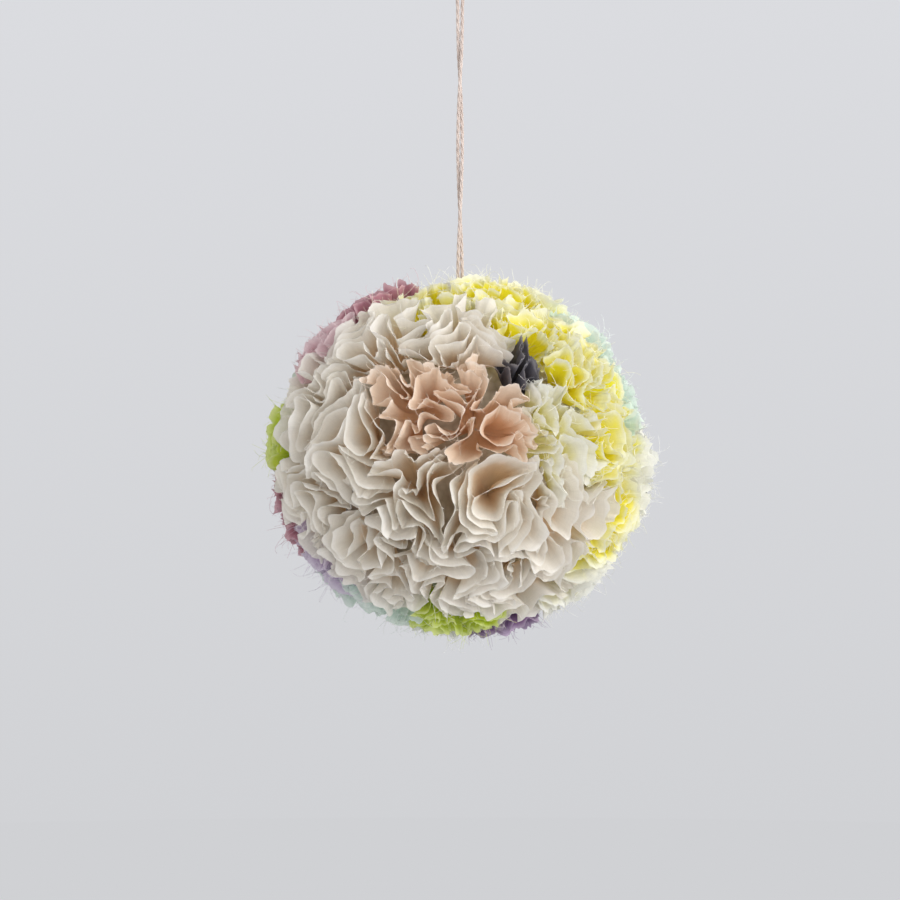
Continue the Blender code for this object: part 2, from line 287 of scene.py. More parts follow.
# A scrap starts as a slim cone with a waved rim, and no two are alike.
START_SLANT, SLANT_WAVE, SLANT_RANGE = 0.30, 0.09, (0.10, 0.46)
LOBES = (7, 11)
REACH_SPREAD, FULLNESS_SPREAD = (0.95, 1.05), (0.9, 1.1)
CORNER_DEPTH, RIM_DEPTH = 0.07, 0.05
EAST_SQUARE_TO = (0.31, 0.53, 0.79)
# Each cloth: reach from the gathered point to the free edge, length of the free edge as a multiple
# of a flat round's, and its share of room on the ball.
CLOTHS = {
    "cream": (0.0200, 1.98, 1.00),
    "lemon": (0.0190, 1.76, 0.85),
    "pale_lemon": (0.0190, 1.76, 0.85),
    "lime": (0.0175, 1.50, 0.65),
    "mint": (0.0180, 1.42, 0.70),
    "rose": (0.0180, 1.58, 0.70),
    "pink": (0.0180, 1.58, 0.70),
    "lilac": (0.0180, 1.58, 0.70),
    "plum": (0.0170, 1.38, 0.55),
    "slate": (0.0165, 1.02, 0.22),
    "peach": (0.0185, 1.38, 0.70),
}
# Where the scraps of the front sit, as degrees round from the front and degrees up.
FRONT = [
    ("peach", -10, 14),
    ("peach", 8, 5),
    ("slate", 18, 24),
    ("lemon", -20, 50),
    ("lemon", 7, 47),
    ("lemon", 28, 38),
    ("lemon", 33, 20),
    ("lemon", 40, 2),
    ("lemon", 48, -14),
    ("pale_lemon", 27, 3),
    ("pale_lemon", 50, -31),
    ("pale_lemon", 66, -3),
    ("mint", 54, 34),
    ("mint", 66, 16),
    ("rose", -42, 47),
    ("pink", -54, 34),
    ("lime", -57, 8),
    ("lime", -10, -47),
    ("rose", -70, -10),
    ("lilac", -54, -27),
    ("mint", -42, -45),
    ("plum", 36, -43),
    ("cream", -27, 23),
    ("cream", -27, 5),
    ("cream", 1, 25),
    ("cream", -11, -5),
    ("cream", -18, -25),
    ("cream", -3, -24),
    ("cream", 12, -10),
    ("cream", 20, -29),
    ("cream", 31, -13),
    ("cream", -44, 18),
    ("cream", -33, -12),
]
REST = ["cream", "cream", "pale_lemon", "cream", "pink", "cream", "cream", "mint", "cream", "lemon",
        "cream", "lilac", "cream"]
REST_COUNT = 23
# The first directions are pushed apart in small steps. Those seen in front move only a little, and
# the twine keeps its own room at the top.
SPREAD_ROUNDS = 260
SPREAD_STEP = 0.0012
LONGEST_STEP = 0.03
FRONT_LOOSE = 0.35
TWINE_SHARE = 0.20
BEHIND_LEAN = 0.75
TWINE_POINTS_STEP = 0.003


def aimed(turn, rise):
    """The unit vector at these degrees round from the front and up."""
    turn, rise = math.radians(turn), math.radians(rise)
    return math.sin(turn) * math.cos(rise), -math.cos(turn) * math.cos(rise), math.sin(rise)


def scrap_places():
    """Each scrap's cloth, and its direction from the ball's centre, spread to share the room."""
    height = 1 - 2 * (np.arange(REST_COUNT) + 0.5) / REST_COUNT
    spiral = np.arange(REST_COUNT) * math.pi * (3 - math.sqrt(5))
    reach = np.sqrt(1 - height**2)
    behind = unit(np.stack([reach * np.cos(spiral), BEHIND_LEAN + reach * np.sin(spiral), height], 1))
    front = np.array([aimed(turn, rise) for _, turn, rise in FRONT])
    top = np.array([[0.0, 0.0, 1.0]])
    cloths = [cloth for cloth, _, _ in FRONT] + [REST[i % len(REST)] for i in range(REST_COUNT)]
    share = np.array([CLOTHS[cloth][2] for cloth in cloths] + [TWINE_SHARE])
    loose = np.array([FRONT_LOOSE] * len(FRONT) + [1.0] * REST_COUNT + [0.0])
    way = np.concatenate([front, behind, top])
    for _ in range(SPREAD_ROUNDS):
        apart = way[:, None] - way[None]
        square = (apart**2).sum(-1) + np.eye(len(way))
        push = (apart * (share[:, None] * share[None] / square**2)[..., None]).sum(1)
        push -= (push * way).sum(1)[:, None] * way
        step = SPREAD_STEP * push * loose[:, None]
        size = np.linalg.norm(step, axis=1, keepdims=True)
        way = unit(way + step * np.minimum(1, LONGEST_STEP / np.maximum(size, 1e-9)))
    return cloths, way[:-1]


def close_pairs(movers, others, reach):
    """Indices into movers and others of every two points nearer than reach, by sorting into cells."""
    low = np.minimum(movers.min(0), others.min(0)) - reach
    cell_m = np.floor((movers - low) / reach).astype(np.int64)
    cell_o = np.floor((others - low) / reach).astype(np.int64)
    span = np.maximum(cell_m.max(0), cell_o.max(0)) + 3
    key = (cell_o[:, 0] * span[1] + cell_o[:, 1]) * span[2] + cell_o[:, 2]
    order = np.argsort(key, kind="stable")
    key = key[order]
    found_m, found_o = [], []
    for dx in (-1, 0, 1):
        for dy in (-1, 0, 1):
            column = ((cell_m[:, 0] + dx) * span[1] + cell_m[:, 1] + dy) * span[2] + cell_m[:, 2]
            first = np.searchsorted(key, column - 1, "left")
            count = np.searchsorted(key, column + 1, "right") - first
            m = np.repeat(np.arange(len(movers)), count)
            o = order[np.arange(count.sum()) + np.repeat(first - (np.cumsum(count) - count), count)]
            near = ((movers[m] - others[o]) ** 2).sum(1) < reach * reach
            found_m.append(m[near])
            found_o.append(o[near])
    return np.concatenate(found_m), np.concatenate(found_o)


def let_out(foot, way, edge, ray, pressed, blocked, step_at,
            rounds, gap, heights, halfway, push_share, push_limit, smoothing, slack):
    """The free edges let out to their full length, while every fold pushes off the folds beside it.

    step_at gives the length between corners, from 0 at the start to 1 when it is all let out, and
    blocked holds the points that the twine takes up. The rest are the values of BOLD_FOLDS.
    """
    scraps, corners = edge.shape[:2]
    samples = corners * (2 if halfway else 1)
    owner = np.repeat(np.arange(scraps), samples * len(heights))
    place = np.tile(np.repeat(np.arange(samples), len(heights)), scraps) * corners / samples
    height = np.tile(heights, samples * scraps)
    owner_all = np.concatenate([owner, np.full(len(blocked), -1)])
    place_all = np.concatenate([place, np.zeros(len(blocked))])
    for count in range(rounds):
        step = step_at(min(1.0, count / (LET_OUT_BY * rounds)))
        sampled = edge
        if halfway:
            sampled = np.empty((scraps, samples, 3))
            sampled[:, 0::2] = edge
            sampled[:, 1::2] = (edge + np.roll(edge, -1, 1)) / 2
        spots = foot[:, None, None] + (sampled - foot[:, None])[:, :, None] * heights[:, None]
        spots = spots.reshape(-1, 3)
        everything = np.concatenate([spots, blocked])
        if count % LOOK_EVERY == 0:
            a, b = close_pairs(spots, everything, gap * LOOK_REACH)
            along = np.abs(place[a] - place_all[b])
            along = np.minimum(along, corners - along)
            own = owner[a] == owner_all[b]
            kept = ~own | (along > OWN_STRETCH * gap / step.mean())
            a, b, own = a[kept], b[kept], own[kept]
        wanted = gap * np.where(own, OWN_GAP * height[a], GAP_AT_GATHER + (1 - GAP_AT_GATHER) * height[a])
        apart = spots[a] - everything[b]
        distance = np.linalg.norm(apart, axis=1) + 1e-9
        force = push_share * np.maximum(wanted - distance, 0) / distance * height[a]
        push = np.stack([np.bincount(a, apart[:, i] * force, len(spots)) for i in range(3)], 1)
        push = push.reshape(scraps, samples, len(heights), 3).sum(2)
        if halfway:
            push = push[:, 0::2] + (push[:, 1::2] + np.roll(push[:, 1::2], 1, 1)) / 2
        size = np.linalg.norm(push, axis=-1, keepdims=True)
        edge = edge + push * np.minimum(1, push_limit / np.maximum(size, 1e-12))
        for hop, share in zip((1, 2), smoothing):
            near = np.roll(edge, hop, 1) + np.roll(edge, -hop, 1)
            far = np.roll(edge, 2 * hop, 1) + np.roll(edge, -2 * hop, 1)
            edge = edge + share / 16 * (4 * near - far - 6 * edge)
        for _ in range(PASSES):
            along = np.roll(edge, -1, 1) - edge
            length = np.linalg.norm(along, axis=-1)
            shift = (HOLD_LENGTH * (length - step) / np.maximum(length, 1e-9))[..., None] * along
            edge = edge + shift - np.roll(shift, 1, 1)
            out = edge - foot[:, None]
            length = np.linalg.norm(out, axis=-1)
            excess = length - np.clip(length, (1 - slack) * ray, ray)
            edge = edge - (HOLD_RAY * excess / np.maximum(length, 1e-9))[..., None] * out
        rise = ((edge - foot[:, None]) * way[:, None]).sum(-1)
        edge = edge + way[:, None] * (HOLD_RISE * np.maximum(LEAST_RISE * ray - rise, 0))[..., None]
        radius = np.linalg.norm(edge * TALLER, axis=-1, keepdims=True)
        edge = edge * (1 - HOLD_OUTLINE * np.maximum(0, radius - pressed) / radius)
    return edge


def grow_edges(cloths, way, blocked):
    """The gathered point of each scrap, the corners of its free edge, and how far it is pressed in.

    Each scrap is a cone of straight rays from its gathered point, its free edge a small waved ring
    that is let out.
    """
    rng = np.random.default_rng(SEED)
    scraps, corners = len(cloths), EDGE_POINTS
    turn = 2 * math.pi * np.arange(corners) / corners
    foot = way * (CORE_RADIUS + SEAT_GAP + CLOTH_WALL / 2)
    east = unit(np.cross(way, np.array(EAST_SQUARE_TO)))
    north = np.cross(way, east)
    reach = np.array([CLOTHS[cloth][0] for cloth in cloths]) * rng.uniform(*REACH_SPREAD, scraps)
    fullness = np.array([CLOTHS[cloth][1] for cloth in cloths]) * rng.uniform(*FULLNESS_SPREAD, scraps)
    lobes = rng.integers(*LOBES, scraps)[:, None]
    phase = rng.uniform(0, 2 * math.pi, (scraps, 6))
    pressed = FREE_RADIUS * rng.uniform(*PRESS_SPREAD, (scraps, 1, 1))
    room = 1 / np.linalg.norm(way * TALLER, axis=1)
    reach, fullness = reach * room, fullness * room
    ray = reach[:, None] * (1 + CORNER_DEPTH * np.cos(4 * turn + phase[:, 5:])
                            + RIM_DEPTH * np.cos(7 * turn + phase[:, 4:5]))
    wave = (np.cos(lobes * turn + phase[:, :1]) + 0.5 * np.cos((lobes + 1) * turn + phase[:, 1:2])
            + 0.4 * np.cos(2 * turn + phase[:, 2:3]) + 0.3 * np.cos(3 * turn + phase[:, 3:4]))
    slant = np.clip(START_SLANT + SLANT_WAVE * wave, *SLANT_RANGE)[..., None]
    around = east[:, None] * np.cos(turn)[:, None] + north[:, None] * np.sin(turn)[:, None]
    edge = foot[:, None] + (way[:, None] * np.cos(slant) + around * np.sin(slant)) * ray[..., None]
    flat_step = 2 * math.pi * reach[:, None] / corners
    start = np.linalg.norm(np.roll(edge, -1, 1) - edge, axis=-1).mean(1, keepdims=True) / flat_step
    edge = let_out(foot, way, edge, ray, pressed, blocked,
                   lambda share: flat_step * (start * (1 - share) + fullness[:, None] * share),
                   **BOLD_FOLDS)
    return foot, edge, pressed


def drawn_finer(edge, times):
    """A closed line with this many times its points, on the smooth curve through them."""
    p0, p1, p2, p3 = np.roll(edge, 1, 0), edge, np.roll(edge, -1, 0), np.roll(edge, -2, 0)
    fine = []
    for t in np.arange(times) / times:
        bend = (2 * p0 - 5 * p1 + 4 * p2 - p3) * t**2 + (3 * p1 - p0 - 3 * p2 + p3) * t**3
        fine.append((2 * p1 + (p2 - p0) * t + bend) / 2)
    return np.stack(fine, 1).reshape(-1, 3)


def ripples(rng, points, wavelengths, count):
    """A smooth random value at each point, mostly from -1 to 1: waves that run all ways."""
    total = np.zeros(points.shape[:-1])
    for _ in range(count):
        run = unit(rng.normal(size=3)) * 2 * math.pi / rng.uniform(*wavelengths)
        total += np.sin(points @ run + rng.uniform(0, 2 * math.pi))
    return total / math.sqrt(count)


def ruffle_edges(feet, way, bold, pressed, blocked):
    """The same free edges let out once more, so that small ruffles grow between the bold folds."""
    rng = np.random.default_rng(RUFFLE_SEED)
    edge = bold
    ray = np.linalg.norm(edge - feet[:, None], axis=-1)
    start = np.linalg.norm(np.roll(edge, -1, 1) - edge, axis=-1)
    flat_step = 2 * math.pi * ray.mean(1, keepdims=True) / ray.shape[1]
    longer = np.clip(RUFFLE_FULLNESS * flat_step / start.mean(1, keepdims=True), *RUFFLE_LONGER)
    round_way = unit(np.roll(edge, -1, 1) - np.roll(edge, 1, 1))
    face = unit(np.cross(round_way, unit(edge - feet[:, None])))
    edge = edge + face * (RUFFLE_START * ripples(rng, edge, RUFFLE_WAVES, count=5))[..., None]
    return let_out(feet, way, edge, ray, pressed, blocked,
                   lambda share: start * (1 + (longer - 1) * share), **SMALL_RUFFLES)


TALLER = np.array([1, 1, FREE_RADIUS / FREE_HEIGHT])
ball_centre = np.array([0, 0, -HANG_DROP])
above = smooth_route(whole_route, TWINE_POINTS_STEP) - ball_centre
above = above[np.linalg.norm(above, axis=1) < TWINE_WITHIN * FREE_RADIUS]
ring = 2 * math.pi * np.arange(COLLAR_POINTS) / COLLAR_POINTS
collar = np.stack([np.cos(ring), np.sin(ring), 0 * ring], 1) * (TWINE_ROOM - FOLD_GAP / 2)
blocked = (above[:, None] + collar[None]).reshape(-1, 3)
cloths, way = scrap_places()
feet, edges, pressed = grow_edges(cloths, way, blocked)
bold_edges = np.stack([drawn_finer(edge, FINER) for edge in edges])
fine_edges = ruffle_edges(feet, way, bold_edges, pressed, blocked)

# The sheets themselves: each scrap is drawn in rows from its tight gather, where the folds spread
# quickly, up to the free edge, where they stand side by side. The edge waves and ravels, and the
# thin cloth keeps the creases that it was crushed into.
RAY_STEPS = [0.002, 0.02, 0.06, 0.12, 0.20, 0.30, 0.42, 0.55, 0.68, 0.80, 0.90, 0.965, 1.0]
SPREAD = 0.55
SMOOTHER = 2
RUFFLE_FADE = 0.9
RIM_WAVES = (0.006, 0.012)
CREASES = (0.0025, 0.007)
CUT_DEPTH, CUT_WAVES = 0.0010, (0.004, 0.010)
CUT_IN_NEXT_ROW = 0.4
# Creases are whole from this share of a ray on, and the waves of the rim fade in by this power.
CREASED_FROM = 0.5
RIM_FADE = 3
# The dark scrap is folded flat: it keeps these shares of its level width and of its small ruffles.
SLATE_WIDTH, SLATE_RUFFLES = 0.40, 0.30
# Each cloth: crease depth, edge wave depth, ragged depth of the raw edge, side of the square it was
# cut to, and how many loose threads it has to 10 mm of edge with their longest length.
HANDS = {
    "cream": (0.00010, 0.0004, 0.00018, 0.052, 3.0, 0.0030),
    "lemon": (0.00028, 0.0006, 0.00045, 0.047, 6.5, 0.0050),
    "pale_lemon": (0.00026, 0.0006, 0.00045, 0.047, 6.5, 0.0050),
    "lime": (0.00016, 0.0005, 0.00035, 0.041, 4.5, 0.0045),
    "mint": (0.00012, 0.0004, 0.00035, 0.042, 3.5, 0.0040),
    "rose": (0.00014, 0.0005, 0.00040, 0.046, 4.0, 0.0045),
    "pink": (0.00012, 0.0005, 0.00040, 0.046, 4.0, 0.0045),
    "lilac": (0.00016, 0.0005, 0.00040, 0.044, 6.5, 0.0060),
    "plum": (0.00014, 0.0005, 0.00040, 0.038, 4.5, 0.0050),
    "slate": (0.00012, 0.0004, 0.00030, 0.027, 4.0, 0.0030),
    "peach": (0.00014, 0.0004, 0.00040, 0.045, 5.0, 0.0042),
}
# Each cloth: its colour, the colour deep in its folds, which is partly dye and partly painted shade
# for the warm shade down between the folds, the colour of its ravelled edge, which is pale thread and
# also a painted highlight where the rim catches the light, how far in from the edge the deep colour
# starts and is reached, and how much light it lets through.
DYES_AND_PAINTED_LIGHT = {
    "cream": ((241, 236, 226), (238, 213, 178), (249, 246, 240), 0.003, 0.013, 0.42),
    "lemon": ((247, 246, 214), (250, 240, 48), (250, 250, 238), -0.001, 0.005, 0.42),
    "pale_lemon": ((245, 244, 236), (244, 238, 158), (248, 248, 242), 0.001, 0.009, 0.42),
    "lime": ((208, 222, 84), (182, 204, 20), (234, 240, 176), 0.000, 0.007, 0.38),
    "mint": ((228, 241, 230), (200, 232, 212), (240, 246, 240), 0.001, 0.011, 0.36),
    "rose": ((196, 140, 152), (158, 92, 108), (224, 190, 196), 0.001, 0.009, 0.28),
    "pink": ((232, 204, 208), (216, 174, 182), (240, 222, 224), 0.002, 0.011, 0.32),
    "lilac": ((216, 200, 220), (178, 148, 190), (234, 226, 236), 0.001, 0.009, 0.40),
    "plum": ((150, 120, 158), (100, 70, 112), (198, 182, 202), 0.001, 0.009, 0.26),
    "slate": ((104, 101, 110), (64, 61, 69), (168, 164, 166), 0.001, 0.009, 0.15),
    "peach": ((241, 221, 200), (228, 186, 147), (248, 236, 224), 0.002, 0.011, 0.34),
}


def sheet_points(rng, foot, up, bold, fine, crease, wave_depth, ragged):
    """The points of one scrap, in rows from its gather to its free edge.

    The bold folds run the whole way, and the small ruffles grow in towards the free edge.
    """
    steps = np.array(RAY_STEPS)[:, None, None]
    out = bold + (fine - bold) * steps**RUFFLE_FADE - foot
    lift = (out @ up)[..., None] * up
    rows = foot + lift * steps + (out - lift) * steps**SPREAD
    round_way = unit(np.roll(rows, -1, 1) - np.roll(rows, 1, 1))
    face = unit(np.cross(round_way, unit(rows - foot)))
    rim = ripples(rng, fine, RIM_WAVES, count=4)
    rows += face * (wave_depth * rim)[:, None] * steps**RIM_FADE
    creases = crease * ripples(rng, rows, CREASES, count=9)
    rows += face * creases[..., None] * np.minimum(1, steps / CREASED_FROM)
    cut = CUT_DEPTH * ripples(rng, fine, CUT_WAVES, count=3) + 0.5 * ragged * rng.normal(size=len(fine))
    rows[-1] += unit(fine - foot) * cut[:, None]
    rows[-2] += unit(fine - foot) * CUT_IN_NEXT_ROW * cut[:, None]
    return rows


def sheet_mesh(name, rows):
    """The mesh of one scrap. Its UV map is in metres: along the free edge, and inwards from it."""
    count, around = rows.shape[:2]
    steps = np.linalg.norm(np.diff(rows[-1], axis=0, append=rows[-1][:1]), axis=1)
    run = np.concatenate([[0], np.cumsum(steps)])
    inward = np.linalg.norm(np.diff(rows, axis=0), axis=-1).mean(1)
    inward = np.concatenate([np.cumsum(inward[::-1])[::-1], [0]])
    row = np.arange(count - 1)[:, None]
    side = np.arange(around)[None]
    beside = (side + 1) % around
    quads = np.stack([row * around + side, row * around + beside, (row + 1) * around + beside,
                      (row + 1) * around + side], -1).reshape(-1, 4)
    flat_run = np.stack(np.broadcast_arrays(run[side], run[side + 1], run[side + 1], run[side]), -1)
    flat_in = np.stack(np.broadcast_arrays(inward[row], inward[row], inward[row + 1], inward[row + 1]), -1)
    flat_run = np.broadcast_to(flat_run, (count - 1, around, 4))
    flat_in = np.broadcast_to(flat_in, (count - 1, around, 4))
    mesh = bpy.data.meshes.new(name)
    mesh.vertices.add(count * around)
    mesh.vertices.foreach_set("co", rows.ravel())
    mesh.loops.add(quads.size)
    mesh.loops.foreach_set("vertex_index", quads.ravel())
    mesh.polygons.add(len(quads))
    mesh.polygons.foreach_set("loop_start", np.arange(len(quads)) * 4)
    mesh.update(calc_edges=True)
    cloth_map = mesh.uv_layers.new(name="cloth")
    cloth_map.data.foreach_set("uv", np.stack([flat_run, flat_in], -1).ravel())
    mesh.validate()
    mesh.shade_smooth()
    return mesh


CLOTH_PATCHES = 95.0
PATCH_DEPTH = 0.014
THREAD_SCALES = ((2600.0, 260.0, 1.0), (260.0, 2600.0, 1.0))
WEAVE_DARK, WEAVE_LIGHT = 0.94, 1.04
# The pale rim: full from the edge to the first depth, gone at the second, and at most this share of the
# pale colour. It is partly cloth that has lost its cross threads and partly a painted highlight.
RAVEL_AND_HIGHLIGHT_START, RAVEL_AND_HIGHLIGHT_END, RAVEL_AND_HIGHLIGHT_SHARE = 0.0002, 0.0011, 0.75


def cloth_material(cloth):
    """Plain-woven dyed cloth, thin enough to glow, with slubs in its threads, dye and painted shade
    deepening into its folds, and a ravelling edge that is pale partly from loose threads and partly as
    painted highlight.
    """
    face, deep, ravelled_and_highlit, deep_start, deep_end, glow = DYES_AND_PAINTED_LIGHT[cloth]
    material = bpy.data.materials.new(cloth + "_cloth")
    material.use_nodes = True
    tree = material.node_tree
    shader = tree.nodes["Principled BSDF"]
    shader.inputs["Roughness"].default_value = 0.88
    shader.inputs["Sheen Weight"].default_value = 0.12
    shader.inputs["Sheen Roughness"].default_value = 0.5
    shader.inputs["Specular IOR Level"].default_value = 0.25
    flat = joined(tree, "ShaderNodeUVMap", {"uv_map": "cloth"}).outputs["UV"]
    place = joined(tree, "ShaderNodeTexCoord").outputs["Object"]
    inward = joined(tree, "ShaderNodeSeparateXYZ", Vector=flat).outputs["Y"]
    patches = joined(tree, "ShaderNodeTexNoise", Vector=place, Scale=CLOTH_PATCHES, Detail=3.0)

    # Dye and painted shade: deeper towards the gather, down in the folds where shade falls, in uneven
    # patches.
    uneven = joined(tree, "ShaderNodeMath", {"operation": "MULTIPLY_ADD"}).inputs
    tree.links.new(patches.outputs["Fac"], uneven[0])
    uneven[1].default_value = PATCH_DEPTH
    uneven[2].default_value = -PATCH_DEPTH / 2
    depth_from_edge = joined(tree, "ShaderNodeMath", {"operation": "ADD"})
    tree.links.new(inward, depth_from_edge.inputs[0])
    tree.links.new(uneven[0].node.outputs[0], depth_from_edge.inputs[1])
    depth = joined(tree, "ShaderNodeMapRange", {"interpolation_type": "SMOOTHSTEP"},
                   Value=depth_from_edge.outputs[0])
    depth.inputs["From Min"].default_value = deep_start
    depth.inputs["From Max"].default_value = deep_end
    dye = joined(tree, "ShaderNodeMix", {"data_type": "RGBA"}, Factor=depth.outputs["Result"])
    dye.inputs["A"].default_value = (*linear(*face), 1)
    dye.inputs["B"].default_value = (*linear(*deep), 1)

    # The last millimetre shows pale: partly cloth that has lost its cross threads, partly a painted
    # highlight where the rim catches the light.
    ravel_and_highlight = joined(tree, "ShaderNodeMapRange", Value=inward)
    ravel_and_highlight.inputs["From Min"].default_value = RAVEL_AND_HIGHLIGHT_START
    ravel_and_highlight.inputs["From Max"].default_value = RAVEL_AND_HIGHLIGHT_END
    ravel_and_highlight.inputs["To Min"].default_value = RAVEL_AND_HIGHLIGHT_SHARE
    ravel_and_highlight.inputs["To Max"].default_value = 0.0
    edged = joined(tree, "ShaderNodeMix", {"data_type": "RGBA"}, Factor=ravel_and_highlight.outputs["Result"])
    tree.links.new(dye.outputs["Result"], edged.inputs["A"])
    edged.inputs["B"].default_value = (*linear(*ravelled_and_highlit), 1)

    # Weave: slubby threads both ways.
    threads = []
    for scale in THREAD_SCALES:
        stretched = joined(tree, "ShaderNodeMapping", Vector=flat, Scale=scale).outputs["Vector"]
        slubs = joined(tree, "ShaderNodeTexNoise", Vector=stretched, Scale=1.0, Detail=2.0)
        threads.append(slubs.outputs["Fac"])
    weave = joined(tree, "ShaderNodeMath", {"operation": "ADD"})
    tree.links.new(threads[0], weave.inputs[0])
    tree.links.new(threads[1], weave.inputs[1])
    streak = joined(tree, "ShaderNodeMapRange", Value=weave.outputs[0])
    streak.inputs["From Min"].default_value = 0.6
    streak.inputs["From Max"].default_value = 1.4
    streak.inputs["To Min"].default_value = WEAVE_DARK
    streak.inputs["To Max"].default_value = WEAVE_LIGHT
    woven = joined(tree, "ShaderNodeVectorMath", {"operation": "SCALE"})
    tree.links.new(edged.outputs["Result"], woven.inputs[0])
    tree.links.new(streak.outputs["Result"], woven.inputs["Scale"])
    colour = woven.outputs[0]
    tree.links.new(colour, shader.inputs["Base Color"])
    relief = joined(tree, "ShaderNodeBump", Height=weave.outputs[0], Strength=0.35, Distance=0.00012)
    tree.links.new(relief.outputs["Normal"], shader.inputs["Normal"])

    through = joined(tree, "ShaderNodeBsdfTranslucent", Color=colour)
    mix = joined(tree, "ShaderNodeMixShader", Fac=glow)
    tree.links.new(shader.outputs[0], mix.inputs[1])
    tree.links.new(through.outputs[0], mix.inputs[2])
    tree.links.new(mix.outputs[0], tree.nodes["Material Output"].inputs["Surface"])
    return material


def thread_material(cloth):
    """The loose threads of a cloth: the same dye, paler for being single."""
    material = bpy.data.materials.new(cloth + "_threads")
    material.use_nodes = True
    tree = material.node_tree
    shader = tree.nodes["Principled BSDF"]
    shader.inputs["Roughness"].default_value = 0.8
    shader.inputs["Sheen Weight"].default_value = 0.2
    place = joined(tree, "ShaderNodeTexCoord").outputs["Object"]
    patches = joined(tree, "ShaderNodeTexNoise", Vector=place, Scale=300.0, Detail=1.0).outputs["Fac"]
    tint = joined(tree, "ShaderNodeMix", {"data_type": "RGBA"}, Factor=patches)
    tint.inputs["A"].default_value = (*linear(*DYES_AND_PAINTED_LIGHT[cloth][0]), 1)
    tint.inputs["B"].default_value = (*linear(*DYES_AND_PAINTED_LIGHT[cloth][2]), 1)
    tree.links.new(tint.outputs["Result"], shader.inputs["Base Color"])
    return material


# The loose threads: fine ravellings that stand out of the raw edges, short where a cross thread
# ends and long where a thread has come away.
THREAD_RADIUS = 0.00006
THREAD_POINTS = 7
THREAD_SIDES = 3
THREAD_TAPER = 0.6
THREAD_ROOM = 0.005
THREAD_ROOT = 0.0002
COUNTED_ALONG = 0.010
THREAD_OUT, THREAD_ALONG, THREAD_STRAY = (0.3, 1.2), (0.0, 1.1), 0.35
THREAD_CURL, THREAD_TWIST = 0.9, 0.5
SHORTEST_SHARE, FEW_LONG = 0.12, 3.2
THREAD_SEED = 11


def thread_paths(rng, rows, foot, per_edge, longest):
    """Paths of the threads of one scrap, from its free edge outwards, curling as they go."""
    edge, inner = rows[-1], rows[-2]
    length = np.linalg.norm(np.roll(edge, -1, 0) - edge, axis=1).sum()
    count = int(per_edge * length / COUNTED_ALONG)
    at = rng.integers(0, len(edge), count)
    out = unit(edge[at] - inner[at])
    round_way = unit(np.roll(edge, -2, 0)[at] - edge[at]) * rng.choice([-1, 1], (count, 1))
    heading = unit(out * rng.uniform(*THREAD_OUT, (count, 1))
                   + round_way * rng.uniform(*THREAD_ALONG, (count, 1))
                   + THREAD_STRAY * rng.normal(size=(count, 3)))
    curl = THREAD_CURL * rng.normal(size=(count, 3))
    twist = THREAD_TWIST * rng.normal(size=(count, 3))
    size = longest * (SHORTEST_SHARE + (1 - SHORTEST_SHARE) * rng.uniform(0, 1, (count, 1)) ** FEW_LONG)
    s = np.linspace(0, 1, THREAD_POINTS)[None, :, None]
    size = size[:, None]
    bend = heading[:, None] * s + 0.5 * curl[:, None] * s**2 + twist[:, None] * (s**3 - 0.6 * s**2)
    paths = edge[at][:, None] - THREAD_ROOT * out[:, None] + size * bend
    radius = np.linalg.norm((paths - ball_centre) * TALLER, axis=-1, keepdims=True)
    return ball_centre + (paths - ball_centre) * np.minimum(1, (FREE_RADIUS + THREAD_ROOM) / radius)


cloth_finish = {cloth: cloth_material(cloth) for cloth in CLOTHS}
thread_finish = {cloth: thread_material(cloth) for cloth in CLOTHS}
made = {}
draw = np.random.default_rng(THREAD_SEED)
for cloth, up, foot, bold, fine in zip(cloths, way, feet, bold_edges, fine_edges):
    made[cloth] = made.get(cloth, 0) + 1
    if cloth == "slate":
        fine = bold + SLATE_RUFFLES * (fine - bold)
        level = unit(np.array([-up[1], up[0], 0.0]))
        for line in (bold, fine):
            line -= (1 - SLATE_WIDTH) * ((line - foot) @ level)[:, None] * level
    node = f"{cloth}_ruffle_{made[cloth]:02d}"
    crease, wave_depth, ragged, side, per_edge, longest = HANDS[cloth]
    bold, fine = drawn_finer(bold, SMOOTHER), drawn_finer(fine, SMOOTHER)
    rows = sheet_points(draw, foot, up, bold, fine, crease, wave_depth, ragged) + ball_centre
    ruffle = bpy.data.objects.new(node + "_cloth", sheet_mesh(node + "_cloth", rows))
    bpy.context.scene.collection.objects.link(ruffle)
    ruffle.data.materials.append(cloth_finish[cloth])
    paths = thread_paths(draw, rows, foot, per_edge, longest)
    thread_mesh = tube_mesh(node + "_threads", paths, THREAD_RADIUS, THREAD_SIDES, THREAD_TAPER)
    threads = bpy.data.objects.new(node + "_threads", thread_mesh)
    bpy.context.scene.collection.objects.link(threads)
    threads.data.materials.append(thread_finish[cloth])
    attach(ruffle, "root")
    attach(threads, "root")
    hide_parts(node)

# The studio: a pale room with no corners, a floor well below the ball that fades into it, one large
# soft lamp on the right, and a weaker one low in front.
FLOOR_HEIGHT = -0.33
FLOOR_RADIUS = 0.95
FLOOR_FADE = (0.20, 0.60)
FLOOR_DARK, FLOOR_LIGHT = (197, 198, 201), (201, 202, 205)
ROOM_TOP, ROOM_BOTTOM = (219, 220, 224), (208, 209, 212)
ROOM_BLEND = 0.11
ROOM_LIGHT, ROOM_STRENGTH = (0.98, 0.985, 1.0), 0.92
LAMP_SIZE = 0.9
LAMPS = [
    ("key", (1.10, -0.85, 0.25), 12.0),
    ("front", (0.45, -1.40, -0.20), 5.5),
]

